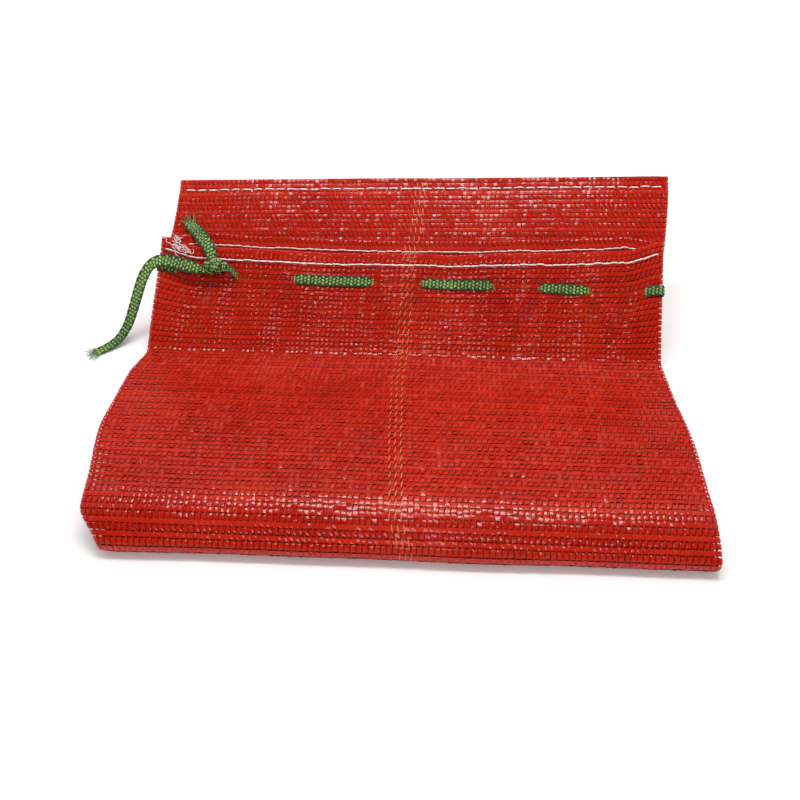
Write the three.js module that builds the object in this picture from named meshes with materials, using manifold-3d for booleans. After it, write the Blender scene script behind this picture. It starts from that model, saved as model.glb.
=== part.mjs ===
// A mesh vegetable bag: a flat tube of woven tape, sewn shut at one end, with a turned hem and a
// drawstring at the other. It lies folded once across its length, as it is packed, and both
// runs rise behind a pressed crease. Millimetres, +Z up, X across the bag, Y from its front fold
// to the back. The origin is under the middle of the bag, on the surface that it rests on.
import * as THREE from "three";
import { mergeVertices } from "three/addons/utils/BufferGeometryUtils.js";
import Module from "manifold-3d";

const wasm = await Module();
wasm.setup();

// The cloth
const bagWidth = 404;
const wall = 1.2;
const panelGap = 3;
const runGap = 0.6;
const edgeFold = 1.6;
const innerEdgeHalf = 0.35;
const besideFold = 3.2;

// The fold: where it lies on the floor, how far it rises behind the crease
const floorRun = 190;
const rollHeight = 26.4;
const noseRadius = 5;
const noseReach = 8.6;
const browRadius = 44;
const browLift = 0.8;
const creaseRadius = 7;
const mouthRise = 87.5;
const mouthRiseAngle = 43.2;
const bottomRise = 158;
const bottomRiseAngle = 36;
const humpLean = 4;

// The mouth and the sewn ends
const hemDepth = 10;
const mouthGape = 9;
const gapeDepth = 52;
const mouthLead = 14;
const mouthSlant = 5;
const mouthSag = 6.5;
const bottomSlant = 12;
const bottomHemThick = 3.6;
const seamGap = 0.4;

// The drawstring, a flat braided tape
const tapeWidth = 9;
const tapeThick = 1;
const tapeDown = 23;
const tapeDrop = 14;
const tapeDropFade = 50;
const tapeMargin = 2.5;
const tapeClear = 0.35;
const slotClear = 0.3;
const passLength = 12;
const edgePass = 16;
const edgeInset = 2.6;
const gatherDepth = 3;
const rearGatherDepth = 1;
const gatherFade = 60;

// The knot and its two free ends
const knotLength = 20;
const knotWidth = 13;
const knotThick = 9;
const knotFromLeft = 50;
const knotBandRise = 1.2;
const knotUp = 6;
const knotPassSpare = 4.85;
const knotRunSpare = 6.5;
const knotTipSpare = 1.6;
const tailBevel = 0.35;

const panelHalf = panelGap / 2 + wall;
const rad = Math.PI / 180;

// The stretches of each wall where the drawstring shows outside, from the left corner of the
// mouth as shares of the bag's width. Between them it runs inside.
const frontPasses = [
  { from: 0.275, to: 0.428 },
  { from: 0.53, to: 0.665 },
  { from: 0.762, to: 0.855 },
];
const rearPasses = [
  { from: 0.2, to: 0.33 },
  { from: 0.47, to: 0.6 },
  { from: 0.74, to: 0.85 },
];

// The middle line of the folded bag, seen from the side, from its bottom hem to its mouth. The
// last three columns are shares of the bag's width: how wide the bag shows there, how far it
// lies to the right, and how much further along the fold its cut is at the right than the left.
const creaseTop = 3 * panelHalf + runGap;
const lowerCreaseY = floorRun + 2 * panelHalf * Math.tan((bottomRiseAngle / 2) * rad);
const foldCorners = [
  {
    name: "bottom",
    y: lowerCreaseY + bottomRise * Math.cos(bottomRiseAngle * rad),
    z: panelHalf + bottomRise * Math.sin(bottomRiseAngle * rad),
    radius: 0,
    width: 1.005,
    shift: 0.022,
    slant: -bottomSlant / bagWidth,
  },
  {
    name: "lowerCrease",
    y: lowerCreaseY,
    z: panelHalf,
    radius: creaseRadius + 2 * panelHalf + runGap,
    width: 1,
    shift: -0.014,
    slant: 0,
  },
  {
    name: "nose",
    y: panelHalf - noseRadius - noseReach,
    z: panelHalf,
    radius: noseRadius,
    width: 0.945,
    shift: 0.018,
    slant: 0,
  },
  {
    name: "brow",
    y: rollHeight * 0.72,
    z: rollHeight - panelHalf + browLift,
    radius: browRadius,
    width: 0.976,
    shift: 0,
    slant: 0,
  },
  {
    name: "shoulder",
    y: floorRun * 0.53,
    z: creaseTop + (rollHeight - panelHalf - creaseTop) * 0.68,
    radius: floorRun * 1.6,
    width: 1.014,
    shift: -0.009,
    slant: 0,
  },
  {
    name: "hollow",
    y: floorRun * 0.83,
    z: creaseTop + 1,
    radius: floorRun,
    width: 1.018,
    shift: -0.0125,
    slant: 0,
  },
  {
    name: "upperCrease",
    y: floorRun,
    z: creaseTop,
    radius: creaseRadius,
    width: 1,
    shift: -0.007,
    slant: 0,
  },
  {
    name: "mouth",
    y: floorRun + mouthRise * Math.cos(mouthRiseAngle * rad),
    z: creaseTop + mouthRise * Math.sin(mouthRiseAngle * rad),
    radius: 0,
    width: 0.99,
    shift: 0.002,
    slant: mouthSlant / bagWidth,
  },
];

// A line through corners, each rounded with its own radius. Gives the point and direction at
// any distance along it, going straight on past both ends, and the distance of each corner.
function roundedLine(corners) {
  const pieces = [];
  const marks = {};
  let length = 0;
  let from = new THREE.Vector2(corners[0].y, corners[0].z);
  marks[corners[0].name] = 0;
  const addStraight = (to) => {
    const size = from.distanceTo(to);
    pieces.push({ start: length, size, from: from.clone(), to: to.clone(), arc: null });
    length += size;
    from = to;
  };
  for (let i = 1; i < corners.length - 1; i++) {
    const corner = new THREE.Vector2(corners[i].y, corners[i].z);
    const before = new THREE.Vector2(corners[i - 1].y, corners[i - 1].z);
    const after = new THREE.Vector2(corners[i + 1].y, corners[i + 1].z);
    const into = corner.clone().sub(before).normalize();
    const out = after.clone().sub(corner).normalize();
    const turn = Math.atan2(into.cross(out), into.dot(out));
    const reach = corners[i].radius * Math.tan(Math.abs(turn) / 2);
    addStraight(corner.clone().addScaledVector(into, -reach));
    const side = Math.sign(turn);
    const centre = new THREE.Vector2(-into.y * side, into.x * side)
      .multiplyScalar(corners[i].radius)
      .add(from);
    const size = corners[i].radius * Math.abs(turn);
    const spoke = from.clone().sub(centre);
    pieces.push({ start: length, size, arc: { centre, spoke, turn } });
    marks[corners[i].name] = length + size / 2;
    length += size;
    from = corner.clone().addScaledVector(out, reach);
  }
  const last = corners[corners.length - 1];
  addStraight(new THREE.Vector2(last.y, last.z));
  marks[last.name] = length;

  const at = (s) => {
    let piece = pieces[0];
    for (const one of pieces) if (s >= one.start) piece = one;
    const share = (s - piece.start) / piece.size;
    if (piece.arc) {
      const { centre, spoke, turn } = piece.arc;
      const point = spoke.clone().rotateAround(new THREE.Vector2(), turn * share).add(centre);
      const radial = point.clone().sub(centre).normalize();
      const side = Math.sign(turn);
      return { point, along: new THREE.Vector2(-radial.y * side, radial.x * side) };
    }
    const along = piece.to.clone().sub(piece.from).normalize();
    return { point: piece.from.clone().addScaledVector(along, s - piece.start), along };
  };
  return { at, marks, length, pieces };
}

const fold = roundedLine(foldCorners);

function smooth(share) {
  const t = Math.min(1, Math.max(0, share));
  return t * t * (3 - 2 * t);
}

// A column of the corner table at any distance along the fold.
function between(column, s) {
  for (let i = 1; i < foldCorners.length; i++) {
    const low = fold.marks[foldCorners[i - 1].name];
    const high = fold.marks[foldCorners[i].name];
    if (s <= high || i === foldCorners.length - 1) {
      const share = smooth((s - low) / (high - low));
      return foldCorners[i - 1][column] * (1 - share) + foldCorners[i][column] * share;
    }
  }
  return 0;
}

// How near the mouth a place is: 0 below the gathers, 1 at the edge.
function nearMouth(s, depth) {
  return smooth(1 - (fold.length - s) / depth);
}

// How much lower than at the left the drawstring lies in the cloth, more and more to the right.
function tapeDropAt(across) {
  return tapeDrop * ((1 + across) / 2) ** 4;
}

// The cloth bulges where the drawstring runs inside it and is pressed in where it runs outside.
function gather(passes, acrossShare) {
  let pressed = 0;
  for (const pass of passes) {
    const middle = (pass.from + pass.to) / 2;
    const reach = (pass.to - pass.from) / 2 + passLength / bagWidth;
    const away = Math.abs(acrossShare - middle) / reach;
    if (away < 1) pressed = Math.max(pressed, Math.cos((away * Math.PI) / 2) ** 2);
  }
  const atEdges = Math.min(1, 8 * Math.min(acrossShare, 1 - acrossShare));
  return (0.5 - pressed) * atEdges;
}

// The share of the half width from which the two panels come together towards the side edge.
const turnFrom = 0.84;

// A place in the cloth. across runs from -1 at the left edge to 1 at the right, s is the
// distance along the fold, panel is 1 on the outer panel and -1 on the inner one, and out is
// the distance from the middle between the panels, before the mouth's gape and the gathers.
function clothPoint(across, s, panel, out) {
  const atEdge = Math.abs(across) === 1;
  const turned = 0.5 * smooth((Math.abs(across) - turnFrom) / (1 - turnFrom));
  const lead = mouthLead * nearMouth(s + hemDepth, mouthRise) * (panel > 0 ? turned : 1 - turned);
  const slanted = (between("slant", s) * bagWidth * across) / 2;
  const sag = mouthSag * nearMouth(s, mouthRise) * (1 - across ** 2);
  const { point, along } = fold.at(s + slanted + lead - sag);
  const normal = new THREE.Vector2(-along.y, along.x);

  const open = atEdge ? 0 : (mouthGape / 2) * nearMouth(s, gapeDepth) * (1 - across ** 4);
  const front = gatherDepth * gather(frontPasses, (1 + across) / 2);
  const rear = -rearGatherDepth * gather(rearPasses, (1 + across) / 2);
  const pull = nearMouth(s + tapeDown / 2, gatherFade) * (panel > 0 ? front : rear);
  const height = panel * (out + open) + (atEdge ? 0 : pull);

  const top = fold.marks.brow;
  const back = fold.marks.upperCrease;
  const onHump = s > top && s < back ? Math.sin((Math.PI * (s - top)) / (back - top)) : 0;
  const lean = (-humpLean / 2) * across * onHump;

  const middle = between("shift", s) * bagWidth;
  const half = (between("width", s) * bagWidth) / 2;
  return new THREE.Vector3(
    middle + across * half,
    point.x + normal.x * height,
    point.y + normal.y * height + lean,
  );
}

// Places across a panel, from edge to edge, with one more close to each fold.
const acrossSteps = 22;
const nearFold = 1 - (2 * besideFold) / bagWidth;
const acrossPlaces = [-1, -nearFold];
for (let i = 1; i < acrossSteps; i++) acrossPlaces.push(-1 + (2 * i) / acrossSteps);
acrossPlaces.push(nearFold, 1);

// The drawstring's line and the band of cloth that it needs. Above and below the band the rows
// of the cloth fade back from the drawstring's drop.
const tapeLine = fold.length - tapeDown;
const tapeBand = tapeWidth / 2 + tapeMargin;
function nearTape(s) {
  const above = s - tapeLine - tapeBand;
  if (above > 0) return 1 - smooth(above / (tapeDown - tapeBand - hemDepth - seamGap));
  return 1 - smooth((tapeLine - tapeBand - s) / tapeDropFade);
}

// The outside of the cloth, or the inside where inner is true, once round the bag at one
// distance along the fold: the outer panel from left to right, then the inner one back.
function ringAt(s, half, inner, skin) {
  const ring = [];
  for (const panel of [1, -1]) {
    const places = panel > 0 ? acrossPlaces : [...acrossPlaces].reverse();
    for (const across of places) {
      const edge = Math.abs(across) === 1;
      const thin = inner ? innerEdgeHalf : edgeFold;
      const at = s - tapeDropAt(across) * nearTape(s);
      const point = clothPoint(across, at, panel, edge ? thin : inner ? half - skin : half);
      if (inner && Math.abs(across) === 1) point.x -= Math.sign(across) * edgeFold;
      ring.push(point);
    }
  }
  return ring;
}

// Triangles for a skin through rings of equal length, which close round.
function skinFaces(rings, first, faces, flip) {
  const around = rings[0].length;
  for (let k = 0; k + 1 < rings.length; k++) {
    for (let i = 0; i < around; i++) {
      const a = first + k * around + i;
      const b = first + k * around + ((i + 1) % around);
      const c = a + around;
      const d = b + around;
      if (flip) faces.push(a, c, b, b, c, d);
      else faces.push(a, b, c, b, d, c);
    }
  }
}

// Triangles that close a ring whose first half faces its second half across the cloth.
function capFaces(first, around, faces, flip) {
  for (let i = 0; i + 1 < around / 2; i++) {
    const a = first + i;
    const b = first + i + 1;
    const c = first + around - 1 - i;
    const d = first + around - 2 - i;
    if (flip) faces.push(a, b, c, b, d, c);
    else faces.push(a, c, b, b, c, d);
  }
}

function geometryOf(points, faces) {
  const geometry = new THREE.BufferGeometry().setFromPoints(points);
  geometry.setIndex(faces);
  return geometry;
}

function solidOf(geometry) {
  const bare = geometry.clone();
  bare.deleteAttribute("normal");
  bare.deleteAttribute("uv");
  const merged = mergeVertices(bare, 1e-4);
  const solid = new wasm.Manifold(
    new wasm.Mesh({
      numProp: 3,
      vertProperties: new Float32Array(merged.attributes.position.array),
      triVerts: new Uint32Array(merged.index.array),
    }),
  );
  return solid;
}

function geometryOfSolid(solid) {
  const mesh = solid.getMesh();
  const geometry = new THREE.BufferGeometry();
  geometry.setAttribute("position", new THREE.BufferAttribute(mesh.vertProperties, 3));
  geometry.setIndex(new THREE.BufferAttribute(mesh.triVerts, 1));
  return geometry;
}

// Distances along the fold at which the cloth is drawn: each bend in equal steps, each straight
// in steps of the given length, and none closer than the least step.
const bendStep = 27;
const longestStep = 50;
const leastStep = 2;
function stations(start, end, longest) {
  const list = [start];
  const turnStep = bendStep * rad;
  for (const piece of fold.pieces) {
    const parts = piece.arc
      ? Math.ceil(Math.abs(piece.arc.turn) / turnStep)
      : Math.ceil(piece.size / longest);
    for (let i = 0; i <= parts; i++) {
      const s = piece.start + (piece.size * i) / parts;
      if (s > list[list.length - 1] + leastStep && s < end - leastStep) list.push(s);
    }
  }
  list.push(end);
  return list;
}

// The body: one hollow skin, closed at the bottom, open at the mouth.
const gatherRows = [24, 11, 0];
function bodyGeometry() {
  const bodyEnd = fold.length - hemDepth - seamGap;
  const bodyStart = hemDepth + seamGap;
  const underTape = gatherRows.map((down) => tapeLine - tapeBand - down);
  const plain = stations(bodyStart, underTape[0], longestStep);
  const list = [...plain, ...underTape.slice(1), tapeLine + tapeBand, bodyEnd];
  const halfAt = (s) => {
    const opened = smooth((s - bodyStart) / (2 * hemDepth));
    return bottomHemThick / 2 + (panelHalf - bottomHemThick / 2) * opened;
  };
  const outside = list.map((s) => ringAt(s, halfAt(s), false, wall));
  const inside = list.map((s, k) => {
    const lifted = k === 0 ? s + wall : s;
    return ringAt(lifted, halfAt(lifted), true, wall);
  });
  const around = outside[0].length;
  const points = [...outside.flat(), ...inside.flat()];
  const faces = [];
  const innerFirst = outside.length * around;
  skinFaces(outside, 0, faces, false);
  skinFaces(inside, innerFirst, faces, true);
  capFaces(0, around, faces, false);
  capFaces(innerFirst, around, faces, true);
  const rimOut = (outside.length - 1) * around;
  const rimIn = innerFirst + rimOut;
  for (let i = 0; i < around; i++) {
    const next = (i + 1) % around;
    faces.push(rimOut + i, rimOut + next, rimIn + i);
    faces.push(rimOut + next, rimIn + next, rimIn + i);
  }
  return geometryOf(points, faces);
}

// The mouth's hem: the cloth turned in once, so a ring two walls thick.
function mouthHemGeometry() {
  const list = [fold.length - hemDepth, fold.length];
  const outside = list.map((s) => ringAt(s, panelHalf, false, 0));
  const inside = list.map((s) => ringAt(s, panelHalf, true, 2 * wall));
  const around = outside[0].length;
  const points = [...outside.flat(), ...inside.flat()];
  const faces = [];
  const innerFirst = outside.length * around;
  skinFaces(outside, 0, faces, false);
  skinFaces(inside, innerFirst, faces, true);
  const closeRim = (outer, inner, flip) => {
    for (let i = 0; i < around; i++) {
      const next = (i + 1) % around;
      const quad = [outer + i, outer + next, inner + i, outer + next, inner + next, inner + i];
      faces.push(...(flip ? quad.reverse() : quad));
    }
  };
  closeRim(0, innerFirst, true);
  closeRim(around, innerFirst + around, false);
  return geometryOf(points, faces);
}

// The bottom hem: both panels folded together and sewn, one flat band.
function bottomHemGeometry() {
  const list = [0, hemDepth];
  const rings = list.map((s) => ringAt(s, bottomHemThick / 2, false, 0));
  const around = rings[0].length;
  const faces = [];
  skinFaces(rings, 0, faces, false);
  capFaces(0, around, faces, false);
  capFaces(around, around, faces, true);
  return geometryOf(rings.flat(), faces);
}

// The middle of a wall of the bag along the drawstring's line, on the flat facets between the
// stations above and below it, with the directions up the wall and out of it.
function wallAt(acrossShare, panel) {
  const across = acrossShare * 2 - 1;
  let i = 1;
  while (i < acrossPlaces.length - 1 && acrossPlaces[i] < across) i++;
  const low = acrossPlaces[i - 1];
  const high = acrossPlaces[i];
  const share = (across - low) / (high - low);
  const corner = (place, s) => {
    const half = Math.abs(place) === 1 ? edgeFold - wall / 2 : panelHalf - wall / 2;
    return clothPoint(place, s - tapeDropAt(place), panel, half);
  };
  const row = (s) => corner(low, s).lerp(corner(high, s), share);
  const below = row(tapeLine - tapeBand);
  const above = row(tapeLine + tapeBand);
  const up = above.clone().sub(below).normalize();
  const rightwards = corner(high, tapeLine).sub(corner(low, tapeLine)).normalize();
  const out = rightwards.clone().cross(up).normalize().multiplyScalar(panel);
  return { middle: below.lerp(above, 0.5), up, out };
}

// Where the drawstring runs on one wall: places from left to right, each outside or inside.
const sideOffset = wall / 2 + tapeClear + tapeThick / 2;
const closestStops = 1.2;
function runAlong(passes, panel, fromShare, toShare) {
  const reach = passLength / 2 / bagWidth;
  const sideAt = (share) => {
    let side = -1;
    for (const pass of passes) {
      const into = (share - (pass.from - reach)) / (2 * reach);
      const outOf = (pass.to + reach - share) / (2 * reach);
      const within = Math.min(1, Math.max(0, Math.min(into, outOf)));
      side = Math.max(side, 2 * within - 1);
    }
    return side;
  };
  const shares = acrossPlaces.map((place) => (place + 1) / 2);
  for (const pass of passes) {
    shares.push(pass.from - reach, pass.from + reach, pass.to - reach, pass.to + reach);
  }
  const kept = shares.filter((share) => share > fromShare && share < toShare);
  kept.push(fromShare, toShare);
  kept.sort((a, b) => a - b);
  const stops = [];
  for (const share of kept) {
    const { middle, up, out } = wallAt(share, panel);
    const place = middle.clone().addScaledVector(out, sideOffset * sideAt(share));
    const last = stops[stops.length - 1];
    if (!last || last.place.distanceTo(place) > closestStops) stops.push({ place, up, out });
  }
  return stops;
}

// A flat tape swept along stops, each with its own directions up and out.
function tapeGeometry(stops, width, thick) {
  const points = [];
  for (const { place, up, out, bunch = 1 } of stops) {
    for (const [a, b] of [[-1, -1], [1, -1], [1, 1], [-1, 1]]) {
      const corner = place.clone().addScaledVector(up, (a * width * bunch) / 2);
      points.push(corner.addScaledVector(out, (b * thick) / 2));
    }
  }
  const faces = [];
  for (let k = 0; k + 1 < stops.length; k++) {
    for (let i = 0; i < 4; i++) {
      const a = 4 * k + i;
      const b = 4 * k + ((i + 1) % 4);
      faces.push(a, b, a + 4, b, b + 4, a + 4);
    }
  }
  const last = 4 * (stops.length - 1);
  faces.push(0, 2, 1, 0, 3, 2);
  faces.push(last, last + 1, last + 2, last, last + 2, last + 3);
  return geometryOf(points, faces);
}

// The drawstring's route: out of the knot, along the front wall to the right edge, round it,
// back along the rear wall, round the left edge and into the knot again.
const knotShare = knotFromLeft / bagWidth;
const knotReach = knotLength / 2 / bagWidth;
const edgeShare = edgeInset / bagWidth;
const turnRadius = panelHalf - wall / 2 + sideOffset + tapeClear;
const turnStepDegrees = 30;
function roundEdge(side) {
  const share = side > 0 ? 1 - edgeShare : edgeShare;
  const front = wallAt(share, 1);
  const rear = wallAt(share, -1);
  const midPlane = panelHalf - wall / 2;
  const frontBase = front.middle.clone().addScaledVector(front.out, -midPlane);
  const rearBase = rear.middle.clone().addScaledVector(rear.out, -midPlane);
  const sideways = new THREE.Vector3(side, 0, 0);
  const stops = [];
  for (let degrees = 90; degrees >= -90; degrees -= turnStepDegrees) {
    const out = sideways.clone().multiplyScalar(Math.cos(degrees * rad));
    out.addScaledVector(front.out, Math.sin(degrees * rad)).normalize();
    const centre = frontBase.clone().lerp(rearBase, (90 - degrees) / 180);
    stops.push({ place: centre.addScaledVector(out, turnRadius), up: front.up, out });
  }
  return side > 0 ? stops : stops.reverse();
}

const atRightEdge = { from: 1 - edgePass / bagWidth, to: 1.1 };
const atLeftEdge = { from: -0.1, to: edgePass / bagWidth };
const knotPass = knotReach + knotPassSpare / bagWidth;
const atKnot = { from: knotShare - knotPass, to: knotShare + knotPass };

// The tape is bunched and lifted where it goes into the knot.
const knotMiddle = wall / 2 + tapeClear + knotBandRise + knotThick / 2;
function intoKnot(sign) {
  const stop = (share, lift, bunch) => {
    const seat = wallAt(share, 1);
    const place = seat.middle.clone().addScaledVector(seat.out, knotMiddle * lift);
    return { ...seat, place: place.addScaledVector(seat.up, knotUp * lift), bunch };
  };
  const tip = stop(knotShare + sign * (knotReach + knotTipSpare / bagWidth), 0.75, 0.7);
  const inside = stop(knotShare + sign * knotReach * 0.6, 1, 0.5);
  return [tip, inside];
}

function drawstringStops() {
  const frontList = [atKnot, ...frontPasses, atRightEdge];
  const leftList = [atLeftEdge, atKnot];
  const rearList = [atLeftEdge, ...rearPasses, atRightEdge];
  const runReach = knotReach + knotRunSpare / bagWidth;
  const startShare = knotShare + runReach;
  const endShare = knotShare - runReach;
  return [
    ...intoKnot(1).reverse(),
    ...runAlong(frontList, 1, startShare, 1 - 2.2 * edgeShare),
    ...roundEdge(1),
    ...runAlong(rearList, -1, 2.2 * edgeShare, 1 - 2.2 * edgeShare).reverse(),
    ...roundEdge(-1),
    ...runAlong(leftList, 1, 2.2 * edgeShare, endShare),
    ...intoKnot(-1),
  ];
}

// The knot: a rounded lump with one turn of the tape pulled tight round it.
function knotSolid() {
  const lump = new THREE.SphereGeometry(0.5, 12, 8);
  lump.scale(knotLength, knotWidth, knotThick);
  const band = new THREE.TorusGeometry(0.5, 0.16, 5, 12);
  band.scale(knotWidth * 0.96, knotThick * 0.92, tapeWidth * 1.6);
  band.rotateY(90 * rad);
  band.rotateX(90 * rad);
  band.rotateZ(24 * rad);
  const seat = wallAt(knotShare, 1);
  const rightwards = seat.up.clone().cross(seat.out).normalize();
  const frame = new THREE.Matrix4().makeBasis(rightwards, seat.up, seat.out);
  const middle = seat.middle.clone().addScaledVector(seat.out, knotMiddle);
  frame.setPosition(middle.addScaledVector(seat.up, knotUp));
  lump.applyMatrix4(frame);
  band.applyMatrix4(frame);
  return solidOf(lump).add(solidOf(band));
}

// The two ends of the drawstring past the knot. One lies over the mouth onto the run behind
// it, the other goes over the left edge and droops onto the floor. Each list holds points on
// the middle line of the tape, measured from the fold's line on the floor.
const endOverMouth = [
  [-151.8, 231.2, 65.2],
  [-153, 233.5, 67],
  [-154.5, 236.5, 69],
  [-156.2, 239.5, 71.8],
  [-158.2, 242.5, 73.8],
  [-160.5, 246, 74.9],
  [-163, 249.5, 75.4],
  [-165.5, 253.5, 75.6],
  [-168, 257.5, 75.7],
  [-170.5, 261.5, 75.5],
  [-173, 265.5, 74.9],
  [-175.5, 269.5, 73.9],
  [-178, 273.5, 72.8],
  [-180, 277, 72.6],
  [-181.6, 280, 73.2],
];
const endOverEdge = [
  [-157, 226.6, 60.9],
  [-161.5, 227.5, 61.5],
  [-166.5, 228.5, 62],
  [-172, 230.2, 62.2],
  [-178, 232.6, 62.4],
  [-184, 235, 62.6],
  [-190, 237, 62.6],
  [-196, 238.4, 62],
  [-202, 238.8, 60],
  [-207, 238, 56.5],
  [-211, 236, 51.5],
  [-214.5, 233.2, 45.5],
  [-217.5, 230, 38.5],
  [-220.5, 226.4, 31],
  [-223.5, 222.6, 23.5],
  [-226.5, 218.6, 16.5],
  [-230, 214.4, 10.5],
  [-234, 210, 5.8],
  [-239, 205.2, 2.8],
  [-245, 200, 1.3],
  [-251, 195, 0.9],
];

// A free end of the tape, swept so that its flat side turns from the wall's face at the knot
// to the way it lies at its end. It is bunched where it leaves the knot.
function freeEndGeometry({ route, startOut, endOut }, grown) {
  const middle = route.map((point) => new THREE.Vector3(...point));
  const points = [];
  const sides = [
    [-1, -tailBevel],
    [-0.8, -1],
    [0.8, -1],
    [1, -tailBevel],
    [1, tailBevel],
    [0.8, 1],
    [-0.8, 1],
    [-1, tailBevel],
  ];
  middle.forEach((place, k) => {
    const before = middle[Math.max(0, k - 1)];
    const after = middle[Math.min(middle.length - 1, k + 1)];
    const along = after.clone().sub(before).normalize();
    const out = startOut.clone().lerp(endOut, smooth(k / (middle.length - 1)));
    const across = out.clone().cross(along).normalize();
    const flat = along.clone().cross(across).normalize();
    const bunch = 0.55 + 0.45 * smooth(k / 3);
    for (const [a, b] of sides) {
      const corner = place.clone().addScaledVector(across, a * ((tapeWidth * bunch) / 2 + grown));
      points.push(corner.addScaledVector(flat, b * (tapeThick / 2 + grown)));
    }
  });
  const around = sides.length;
  const faces = [];
  for (let k = 0; k + 1 < middle.length; k++) {
    for (let i = 0; i < around; i++) {
      const a = k * around + i;
      const b = k * around + ((i + 1) % around);
      faces.push(a, b, a + around, b, b + around, a + around);
    }
  }
  const last = points.length - around;
  for (let i = 1; i + 1 < around; i++) {
    faces.push(0, i + 1, i);
    faces.push(last, last + i, last + i + 1);
  }
  return geometryOf(points, faces);
}

function material(colour, roughness) {
  return new THREE.MeshStandardMaterial({ color: colour, roughness, metalness: 0 });
}

const group = new THREE.Group();
function addPiece(name, geometry, look) {
  const mesh = new THREE.Mesh(geometry, look);
  mesh.name = name;
  group.add(mesh);
  return mesh;
}

const stops = drawstringStops();
const string = solidOf(tapeGeometry(stops, tapeWidth, tapeThick));
const slots = solidOf(tapeGeometry(stops, tapeWidth + 2 * slotClear, tapeThick + 2 * slotClear));
const body = solidOf(bodyGeometry()).subtract(slots);

addPiece("bag_body", geometryOfSolid(body), material(0xbe1e0f, 0.4));
addPiece("mouth_hem", mouthHemGeometry(), material(0xb51c10, 0.45));
addPiece("bottom_hem", bottomHemGeometry(), material(0xb51c10, 0.45));
addPiece("drawstring", geometryOfSolid(string), material(0x3f7a2f, 0.55));

const facing = wallAt(knotShare, 1).out;
const upright = new THREE.Vector3(0, 0, 1);
const rising = upright.clone().applyAxisAngle(new THREE.Vector3(1, 0, 0), bottomRiseAngle * rad);
const tailUp = { route: endOverMouth, startOut: facing, endOut: rising };
const tailSide = { route: endOverEdge, startOut: facing, endOut: upright };
const sockets = [tailUp, tailSide].map((tail) => solidOf(freeEndGeometry(tail, slotClear)));
const knot = knotSolid().subtract(slots).subtract(sockets[0]).subtract(sockets[1]);
addPiece("drawstring_knot", geometryOfSolid(knot), material(0x3f7a2f, 0.55));

// The origin: under the middle of the bag without the two free ends.
const extent = new THREE.Box3().setFromObject(group);
const origin = extent.getCenter(new THREE.Vector3());
group.position.set(-origin.x, -origin.y, -extent.min.z);

addPiece("tail_up", freeEndGeometry(tailUp, 0), material(0x3f7a2f, 0.55));
addPiece("tail_side", freeEndGeometry(tailSide, 0), material(0x3f7a2f, 0.55));

export default group;
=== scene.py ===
# %% [markdown]
# # A mesh vegetable bag
# The bag is a flat tube woven from glossy plastic tape, sewn shut at one end and threaded with a
# green drawstring at the other. It lies folded once. Everything here is laid on one curved
# surface, the same that the solid model uses, so the cloth, the hems and the stitches all meet.

# %% Load the frame
import math
import bpy
import numpy as np
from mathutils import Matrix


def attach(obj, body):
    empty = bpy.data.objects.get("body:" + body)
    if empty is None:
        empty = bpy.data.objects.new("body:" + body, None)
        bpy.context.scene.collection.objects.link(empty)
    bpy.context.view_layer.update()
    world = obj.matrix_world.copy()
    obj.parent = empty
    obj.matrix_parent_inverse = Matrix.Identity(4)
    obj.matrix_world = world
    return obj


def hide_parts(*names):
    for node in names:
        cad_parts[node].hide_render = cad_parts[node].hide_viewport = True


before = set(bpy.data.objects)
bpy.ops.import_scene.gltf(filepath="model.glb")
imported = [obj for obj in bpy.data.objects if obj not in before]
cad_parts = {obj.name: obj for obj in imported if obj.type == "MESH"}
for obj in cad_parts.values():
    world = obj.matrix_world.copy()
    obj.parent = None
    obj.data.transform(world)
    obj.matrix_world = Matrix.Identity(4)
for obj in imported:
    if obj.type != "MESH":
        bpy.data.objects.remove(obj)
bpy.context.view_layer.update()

# %% [markdown]
# ## Camera
# The photo looks down at about 42 degrees with a normal lens. A camera that is placed by real
# distances keeps the perspective right: the front of the bag is a fifth nearer than its back.

# %% Camera
MM = 0.001
CAMERA_AT_MM = (16.0, -461.0, 405.0)
CAMERA_DOWN_DEGREES = 42.0
CAMERA_TURN_DEGREES = 2.47
LENS_MM = 36.0
SENSOR_MM = 36.0

camera_data = bpy.data.cameras.new("photo_camera")
camera_data.lens = LENS_MM
camera_data.sensor_width = SENSOR_MM
camera_data.clip_start = 0.02
camera = bpy.data.objects.new("photo_camera", camera_data)
camera.location = [v * MM for v in CAMERA_AT_MM]
camera.rotation_euler = (math.radians(90 - CAMERA_DOWN_DEGREES), 0, math.radians(CAMERA_TURN_DEGREES))
bpy.context.scene.collection.objects.link(camera)
bpy.context.scene.camera = camera
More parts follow.
